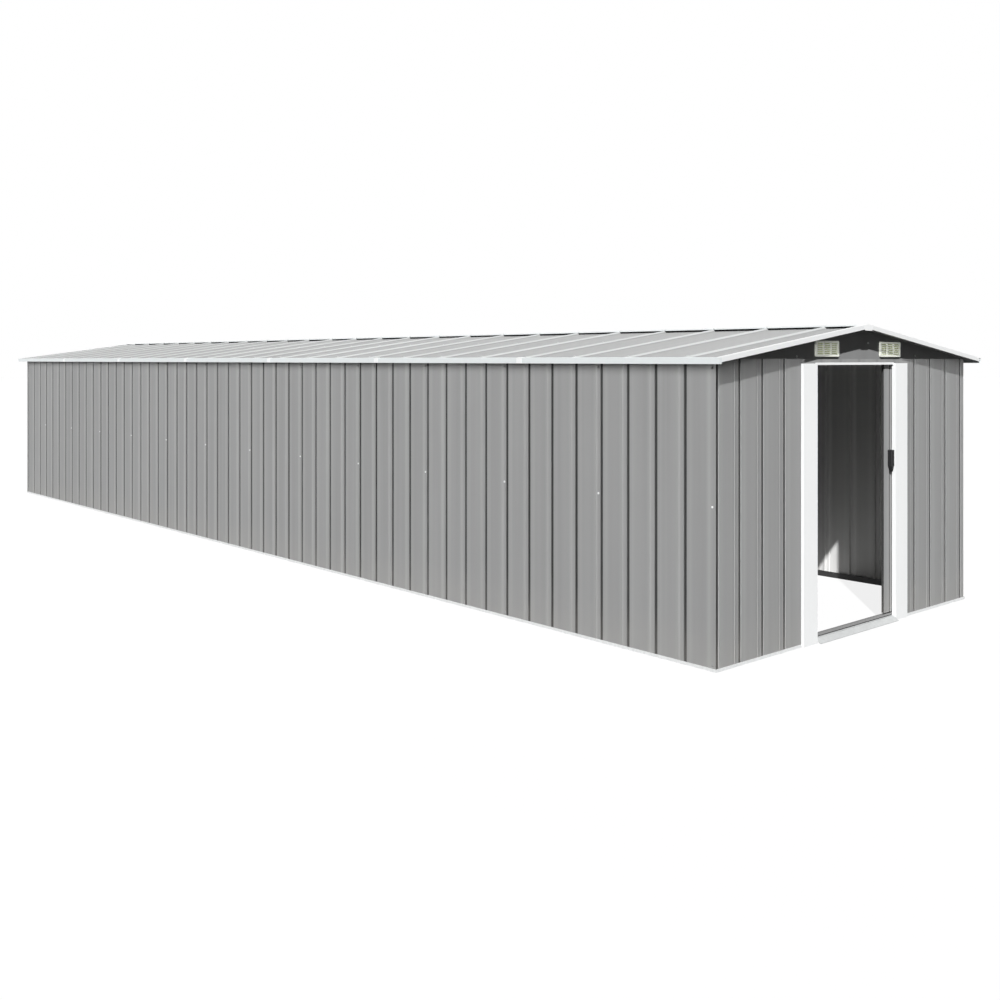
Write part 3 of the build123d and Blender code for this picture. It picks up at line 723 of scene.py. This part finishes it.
def eave_cover(side, y):
    """Folded cover over a joint of the left eave trim, for side 1, or of the right one."""
    outer, over = eave_edge - COVER_SHEET, eave_top + COVER_SHEET
    outline = eave_fold + [(eave_inner, roof_level(eave_inner, TRIM_TOP + COVER_SHEET))]
    outline += [(outer, over), (outer, eave_low)]
    return prism(outline, lambda x, z, end: (side * x, side * (y + (2 * end - 1) * COVER_HALF_LENGTH), z))


eave_joints = [(2 * count / EAVE_LENGTHS - 1) * roof_half_length for count in range(1, EAVE_LENGTHS)]
end_plates = add_piece("eave_end_plates", [eave_end(1), eave_end(-1)], eave_white)
covers = [eave_cover(side, y) for side in (-1, 1) for y in eave_joints]
eave_covers = add_piece("eave_covers", covers, jamb_white)


# Stage: a plain floor, a faint sky, the lamps and the camera

FLOOR_REACH = 80.0
FLOOR_DROP = 0.0005
FLOOR_PALE = shade(0.85, 0.85, 0.85)
FLOOR_DULL = shade(0.05, 0.05, 0.05)
ROOM_DULL = shade(0.46, 0.46, 0.46)
WHITE = shade(1.0, 1.0, 1.0)
FLOOR_WHITE_share = 0.86
SKY_STRENGTH = 0.045


def seen_directly(coat):
    """1 for what the camera, a reflection or clear glass looks at."""
    path = coat.node("ShaderNodeLightPath", {}, {})
    seen = coat.math("MAXIMUM", path("Is Camera Ray"), path("Is Glossy Ray"))
    return coat.math("MAXIMUM", seen, path("Is Transmission Ray"))


def pale_floor():
    """Floor that looks white, takes shadows and throws little light back, but for the floor of the room."""
    coat = finish("pale_floor")
    seen = seen_directly(coat)
    x, y, _ = coat.parts(coat.place())
    room = (half_width > abs(x)) * (half_length > abs(y))
    dull, room_dull, pale = [
        coat.node("ShaderNodeBsdfDiffuse", {}, {"Color": colour})("BSDF")
        for colour in (FLOOR_DULL, ROOM_DULL, FLOOR_PALE)
    ]
    white = coat.node("ShaderNodeEmission", {}, {"Color": WHITE, "Strength": 1.0})("Emission")
    lit = coat.mixed(seen, coat.mixed(room, dull, room_dull), pale)
    surface = coat.mixed(seen * FLOOR_WHITE_share, lit, white)
    coat.node("ShaderNodeOutputMaterial", {}, {"Surface": surface})
    return coat.owner


floor_corners = [(-1, -1), (1, -1), (1, 1), (-1, 1)]
floor_points = [(x * FLOOR_REACH, y * FLOOR_REACH, -FLOOR_DROP) for x, y in floor_corners]
ground = bpy.data.meshes.new("floor")
ground.from_pydata(floor_points, [], [(0, 1, 2, 3)])
ground.materials.append(pale_floor())
floor = placed("floor", ground)

world = bpy.data.worlds.new("sky")
bpy.context.scene.world = world
sky = Finish(world)
faint, white = [
    sky.node("ShaderNodeBackground", {}, {"Color": WHITE, "Strength": strength})("Background")
    for strength in (SKY_STRENGTH, 1.0)
]
sky.node("ShaderNodeOutputWorld", {}, {"Surface": sky.mixed(seen_directly(sky), faint, white)})

SUN = {"strength": 5.25, "size": 0.9, "azimuth": 47.0, "elevation": 43.1}
TRIM_LAMP = {"strength": 5.0, "size": 0.9, "azimuth": 47.0, "elevation": 35.0}
WALL_LAMP = {"strength": 4.48, "size": 55.0, "azimuth": 64.5, "elevation": 11.0}
FRONT_LAMP = {"strength": 2.5, "size": 1.0, "azimuth": 45.5, "elevation": 46.0}
BACK_LAMP = {"strength": 3.2, "size": 50.0, "azimuth": 225.0, "elevation": 5.0}


def add_lamp(name, strength, size, azimuth, elevation):
    """Distant lamp: azimuth to the left of the way that the front looks, in degrees."""
    lamp = bpy.data.lights.new(name, "SUN")
    lamp.energy = strength
    lamp.angle = radians(size)
    left, ahead, up = sin(radians(azimuth)), cos(radians(azimuth)), tan(radians(elevation))
    light = placed(name, lamp)
    light.rotation_euler = Vector((-left, -ahead, up)).to_track_quat("Z", "Y").to_euler()
    return light


def share_out(light, pieces, state):
    """Lets a lamp light only the pieces, for INCLUDE, or all but the pieces, for EXCLUDE."""
    receivers = bpy.data.collections.new(light.name)
    for piece in pieces:
        receivers.objects.link(piece)
    light.light_linking.receiver_collection = receivers
    for receiver in receivers.collection_objects:
        receiver.light_linking.link_state = state


front_pieces = [nodes[name] for name in ("front_left_panel", "front_right_panel", "gable_vents")]
front_pieces.append(vent_blades)
softly_lit = front_pieces + [nodes["left_wall_over_panels"], nodes["left_wall_under_panels"]]
trims = [nodes[part["node"]] for part in subparts if part["material_slot"] == "trim_white"]
trims += [header_lip, end_plates, eave_covers]
rear_trims = (nodes["right_eave_trim"], nodes["rear_verge_trims"])
sunlit_trims = [trim for trim in trims if trim not in rear_trims]
share_out(add_lamp("sun", **SUN), softly_lit + trims, "EXCLUDE")
share_out(add_lamp("trim_lamp", **TRIM_LAMP), trims, "INCLUDE")
share_out(add_lamp("wall_lamp", **WALL_LAMP), softly_lit, "INCLUDE")
share_out(add_lamp("front_lamp", **FRONT_LAMP), front_pieces, "INCLUDE")
share_out(add_lamp("back_lamp", **BACK_LAMP), sunlit_trims, "EXCLUDE")

CAMERA_PLACE = (-5.670, -8.319, 1.531)
CAMERA_YAW = 41.344
IMAGE_WIDTH = 1000.0
FOCAL_PIXELS = 1115.6
HORIZON_ROW = 359.6
SENSOR = 36.0

lens = bpy.data.cameras.new("camera")
lens.sensor_width = SENSOR
lens.lens = FOCAL_PIXELS / IMAGE_WIDTH * SENSOR
lens.shift_y = HORIZON_ROW / IMAGE_WIDTH - 0.5
camera = placed("camera", lens)
camera.location = CAMERA_PLACE
camera.rotation_euler = (pi / 2, 0, -radians(CAMERA_YAW))
bpy.context.scene.camera = camera
bpy.context.scene.view_settings.view_transform = "Standard"
